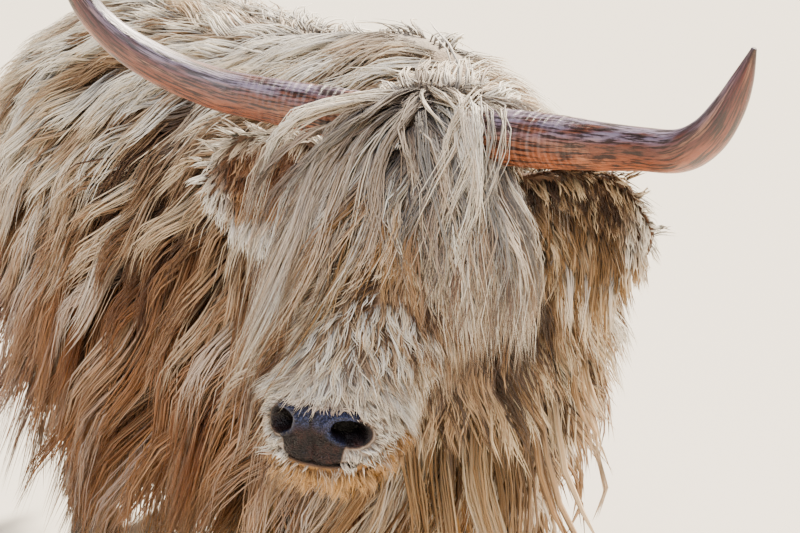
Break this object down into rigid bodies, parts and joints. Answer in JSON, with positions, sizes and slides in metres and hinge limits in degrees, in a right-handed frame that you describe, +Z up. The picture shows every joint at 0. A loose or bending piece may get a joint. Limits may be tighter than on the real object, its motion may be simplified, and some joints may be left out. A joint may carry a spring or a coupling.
{
  "type": "highland cow",
  "caption": "Life-size standing highland cow with a shaggy blond coat, long curved horns and her head turned to the right",
  "frame": {"origin": "on the floor, under the middle of the animal's bounding box", "axes": "she faces -Y, her left side is +X, +Z is up"},
  "size_m": [1.0354, 2.2618, 1.2412],
  "materials": {
    "coat": "long shaggy hair, matt",
    "face": "shorter hair and skin, matt",
    "nose": "moist pebbled skin",
    "horn": "horn, satin, ridged and cracked lengthwise",
    "hoof": "hoof horn, matt",
    "eye": "wet and glossy",
    "udder": "bare skin with fine down"
  },
  "bodies": {
    "root": {"torso": "coat", "neck": "coat", "head": "face", "muzzle": "face", "nose_pad": "nose", "eye_left": "eye", "eye_right": "eye", "horn_left": "horn", "horn_right": "horn", "ear_left": "face", "ear_right": "face", "leg_fore_left_upper": "coat", "leg_fore_left_lower": "coat", "leg_fore_right_upper": "coat", "leg_fore_right_lower": "coat", "leg_hind_left_upper": "coat", "leg_hind_left_lower": "coat", "leg_hind_right_upper": "coat", "leg_hind_right_lower": "coat", "hoof_fore_left_inner": "hoof", "hoof_fore_left_outer": "hoof", "hoof_fore_right_inner": "hoof", "hoof_fore_right_outer": "hoof", "hoof_hind_left_inner": "hoof", "hoof_hind_left_outer": "hoof", "hoof_hind_right_inner": "hoof", "hoof_hind_right_outer": "hoof", "dewclaw_fore_left_inner": "hoof", "dewclaw_fore_left_outer": "hoof", "dewclaw_fore_right_inner": "hoof", "dewclaw_fore_right_outer": "hoof", "dewclaw_hind_left_inner": "hoof", "dewclaw_hind_left_outer": "hoof", "dewclaw_hind_right_inner": "hoof", "dewclaw_hind_right_outer": "hoof", "tail": "coat", "tail_switch": "coat", "udder": "udder"}
  },
  "joints": []
}
